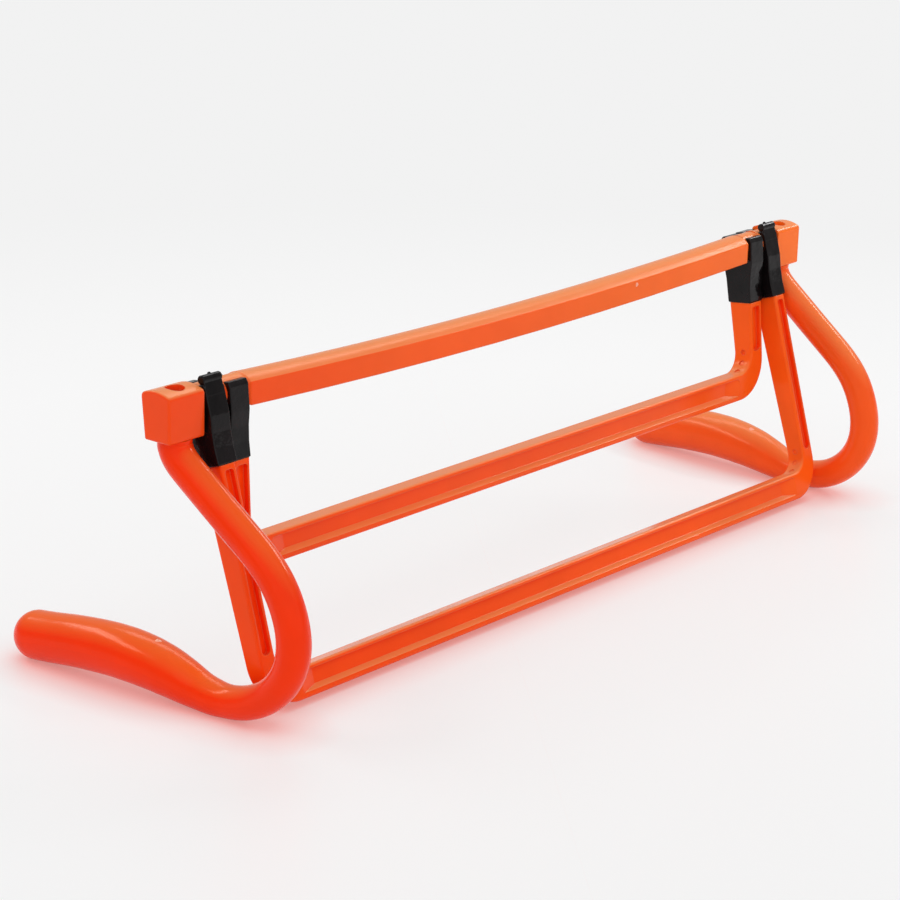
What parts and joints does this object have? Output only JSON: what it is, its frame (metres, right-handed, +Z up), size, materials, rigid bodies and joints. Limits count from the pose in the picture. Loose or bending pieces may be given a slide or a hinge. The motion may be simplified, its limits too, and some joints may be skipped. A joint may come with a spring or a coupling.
{
  "type": "speed hurdle",
  "caption": "Low training hurdle: a bar on looped tube legs, with nested U-shaped frames that clip round the bar's necks and swing up to raise the jump.",
  "frame": {"origin": "middle of the ground that the feet cover, on the floor", "axes": "+X along the bar to its right end, +Z up, the looped front of the legs and the frames towards -Y"},
  "size_m": [0.5122, 0.1731, 0.1523],
  "materials": {
    "orange_plastic": "satin moulded",
    "black_plastic": "gloss moulded",
    "white_plastic": "natural nylon",
    "steel": "zinc plated"
  },
  "bodies": {
    "bar": {"top_bar": "orange_plastic", "left_leg_washer": "steel", "right_leg_washer": "steel"},
    "short_frame": {"short_frame": "orange_plastic", "left_short_clip": "black_plastic", "right_short_clip": "black_plastic", "left_short_clip_screw": "steel", "right_short_clip_screw": "steel"},
    "long_frame": {"long_frame": "orange_plastic", "left_long_clip": "black_plastic", "right_long_clip": "black_plastic", "left_long_clip_screw": "steel", "right_long_clip_screw": "steel"},
    "left_leg": {"left_leg": "orange_plastic", "left_leg_plug": "white_plastic", "left_leg_screw": "steel"},
    "right_leg": {"right_leg": "orange_plastic", "right_leg_plug": "white_plastic", "right_leg_screw": "steel"}
  },
  "joints": [
    {"name": "short_frame_swing", "type": "hinge", "parent": "bar", "child": "short_frame", "pos_m": [0, -0.01002, 0.1405], "axis": [-1, 0, 0], "range_deg": [-6.1, 173.9]},
    {"name": "long_frame_swing", "type": "hinge", "parent": "bar", "child": "long_frame", "pos_m": [0, -0.01002, 0.1405], "axis": [-1, 0, 0], "range_deg": [0, 163]},
    {"name": "left_leg_swivel", "type": "hinge", "parent": "bar", "child": "left_leg", "pos_m": [-0.2386, -0.01002, 0.13], "axis": [0, 0, -1], "range_deg": [0, 93.8]},
    {"name": "right_leg_swivel", "type": "hinge", "parent": "bar", "child": "right_leg", "pos_m": [0.2386, -0.01002, 0.13], "axis": [0, 0, 1], "range_deg": [0, 93.8]}
  ]
}
